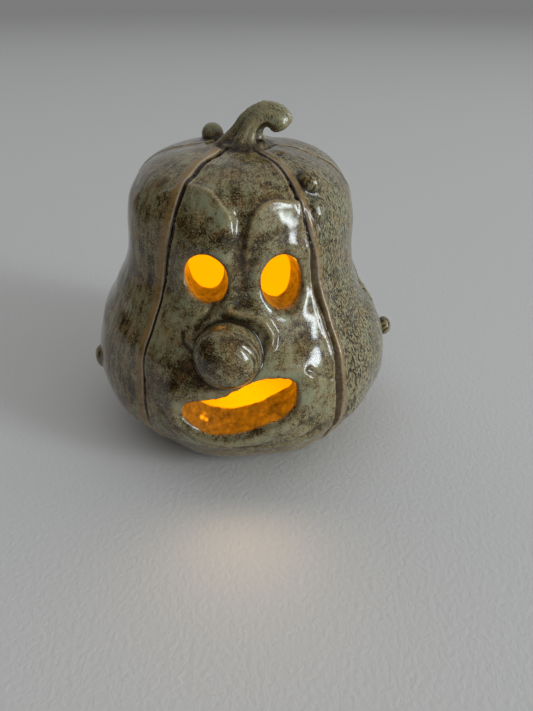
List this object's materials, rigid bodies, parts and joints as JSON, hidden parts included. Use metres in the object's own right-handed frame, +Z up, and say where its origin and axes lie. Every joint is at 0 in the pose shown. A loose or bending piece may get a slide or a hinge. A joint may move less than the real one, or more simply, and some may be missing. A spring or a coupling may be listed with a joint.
{
  "type": "ceramic pumpkin lantern",
  "caption": "Hollow glazed stoneware pumpkin lantern: grooved bell-shaped body with a cut-out face, ball nose, bent stem and small warts, open at the foot so that it is set down over a light.",
  "frame": {"origin": "on the table under the middle of the whole lantern's box, inside the open foot", "axes": "+Z up through the stem, -Y out of the face, +X to the right as the face is seen"},
  "size_m": [0.1072, 0.1087, 0.1119],
  "materials": {
    "glaze": "glossy mottled stoneware glaze, olive grey-green breaking to dark brown in the hollows and tan on the raised lips, with fine dark specks; warm amber inside"
  },
  "bodies": {
    "root": {"lantern": "glaze"}
  },
  "joints": []
}
